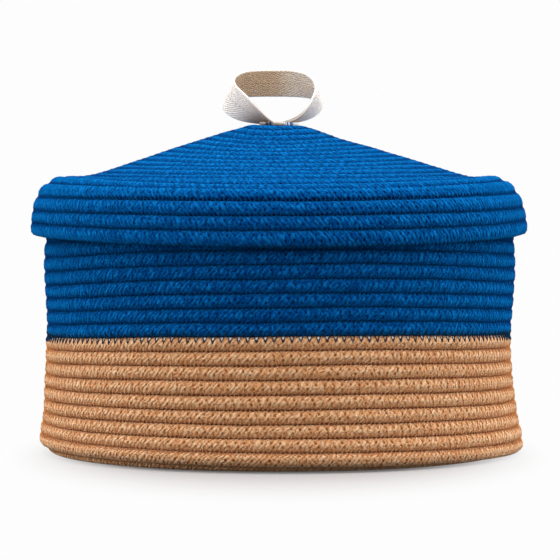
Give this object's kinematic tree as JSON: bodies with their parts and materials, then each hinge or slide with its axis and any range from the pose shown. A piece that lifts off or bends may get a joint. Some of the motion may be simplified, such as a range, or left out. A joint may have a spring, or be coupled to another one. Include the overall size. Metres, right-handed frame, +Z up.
{
  "type": "lidded coiled-cord basket",
  "caption": "Round lidded storage basket of coiled and sewn cotton cord, brown below and blue above, with a low cone lid that lifts off and a swinging loop of twill tape as its handle.",
  "frame": {"origin": "middle of the base, on the surface that the basket stands on", "axes": "+Z up along the basket's axis, +Y towards the back, where the handle leans, and -Y towards the front"},
  "size_m": [0.308, 0.308, 0.2367],
  "materials": {
    "brown_cord": "matt braided cotton cord, tan brown",
    "blue_cord": "matt braided cotton cord, deep blue",
    "cream_tape": "matt herringbone twill tape, natural cream"
  },
  "bodies": {
    "basket": {"base_coil": "brown_cord", "lower_wall_coil": "brown_cord", "upper_wall_coil": "blue_cord"},
    "lid": {"lid_crown_coil": "blue_cord", "lid_skirt_coil": "blue_cord", "handle_feet": "cream_tape", "handle_neck": "cream_tape"},
    "handle": {"handle_loop": "cream_tape"}
  },
  "joints": [
    {"name": "lid_lift", "type": "slide", "parent": "basket", "child": "lid", "axis": [0, 0, 1], "range_m": [0, 0.2]},
    {"name": "handle_swing", "type": "hinge", "parent": "lid", "child": "handle", "pos_m": [0, 0, 0.20293], "axis": [1, 0, 0], "range_deg": [-35, 115], "stiffness_Nm_per_rad": 0.03, "deforming": ["handle_neck"]}
  ]
}
